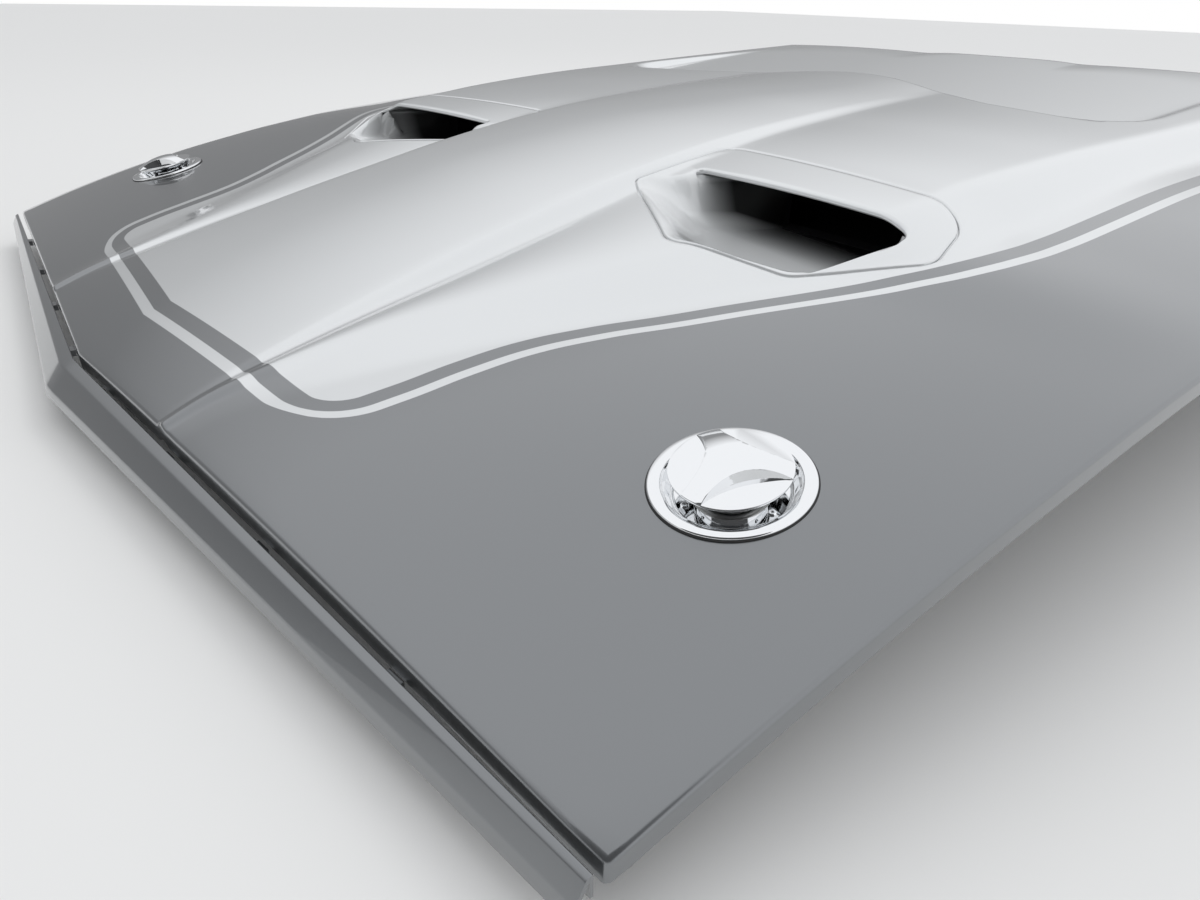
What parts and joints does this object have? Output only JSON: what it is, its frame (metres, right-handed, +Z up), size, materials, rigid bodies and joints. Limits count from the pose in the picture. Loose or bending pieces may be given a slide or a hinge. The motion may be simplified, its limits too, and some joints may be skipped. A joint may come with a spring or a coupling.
{
  "type": "car bonnet with twin air scoops, twist locks and sprung four-bar hinges",
  "caption": "Raised car bonnet with forward air scoops, an air tray beneath, twist locks near the nose and sprung four-bar hinges that lift and tilt it.",
  "frame": {"origin": "middle of the four hinge bolts, at the underside of the hinge feet", "axes": "+X to the car's left, +Y to the rear, +Z up, with the bonnet shut on a level car"},
  "size_m": [1.464, 1.5874, 0.2752],
  "materials": {
    "bonnet_paint": "gloss charcoal metallic with a silver panel and a fine silver line",
    "silver_paint": "gloss silver metallic",
    "lock_chrome": "polished chrome",
    "zinc": "satin zinc",
    "tray_plastic": "matt black moulded",
    "seal_rubber": "matt black rubber",
    "frame_paint": "satin charcoal",
    "hinge_steel": "satin black",
    "spring_steel": "oiled spring steel"
  },
  "bodies": {
    "hinge_bases": {"hinge_base_left": "hinge_steel", "hinge_base_right": "hinge_steel", "hinge_spring_left": "spring_steel", "hinge_spring_right": "spring_steel"},
    "rear_links": {"hinge_rear_link_left": "hinge_steel", "hinge_rear_link_right": "hinge_steel"},
    "front_links": {"hinge_front_link_left": "hinge_steel", "hinge_front_link_right": "hinge_steel"},
    "bonnet": {"air_tray": "tray_plastic", "bonnet_skin": "bonnet_paint", "bump_stop_left": "seal_rubber", "bump_stop_right": "seal_rubber", "front_rail": "frame_paint", "front_rib_left": "frame_paint", "front_rib_right": "frame_paint", "hinge_strap_left": "hinge_steel", "hinge_strap_right": "hinge_steel", "lip_moulding": "bonnet_paint", "lock_bezel_left": "lock_chrome", "lock_bezel_right": "lock_chrome", "lock_housing_left": "zinc", "lock_housing_right": "zinc", "rear_rail": "frame_paint", "rear_rib_left": "frame_paint", "rear_rib_right": "frame_paint", "rear_seal": "seal_rubber", "safety_catch": "hinge_steel", "scoop_insert_left": "silver_paint", "scoop_insert_right": "silver_paint", "side_rail_left": "frame_paint", "side_rail_right": "frame_paint", "tray_seal": "seal_rubber"},
    "lock_left": {"lock_knob_left": "lock_chrome"},
    "lock_right": {"lock_knob_right": "lock_chrome"}
  },
  "joints": [
    {"name": "rear_link_swing", "type": "hinge", "parent": "hinge_bases", "child": "rear_links", "pos_m": [0, 0.0735, 0.104], "axis": [1, 0, 0], "range_deg": [0, 66.3], "deforming": ["hinge_spring_left", "hinge_spring_right"]},
    {"name": "bonnet_tilt", "type": "hinge", "parent": "rear_links", "child": "bonnet", "pos_m": [0, 0.1615, 0.136], "axis": [-1, 0, 0], "range_deg": [0, 114.3]},
    {"name": "front_link_swing", "type": "hinge", "parent": "hinge_bases", "child": "front_links", "pos_m": [0, -0.073, 0.029], "axis": [1, 0, 0], "range_deg": [0, 43.1]},
    {"name": "lock_turn_left", "type": "hinge", "parent": "bonnet", "child": "lock_left", "pos_m": [0.58198, -1.08589, 0.07578], "axis": [0.0467, -0.2214, 0.9741], "range_deg": [0, 90]},
    {"name": "lock_turn_right", "type": "hinge", "parent": "bonnet", "child": "lock_right", "pos_m": [-0.58198, -1.08589, 0.07578], "axis": [0.0467, 0.2214, -0.9741], "range_deg": [0, 90]}
  ],
  "couplings": [
    {"joint": "rear_link_swing", "follows": "bonnet_tilt", "ratio": 0.58},
    {"joint": "front_link_swing", "follows": "bonnet_tilt", "ratio": 0.377}
  ]
}
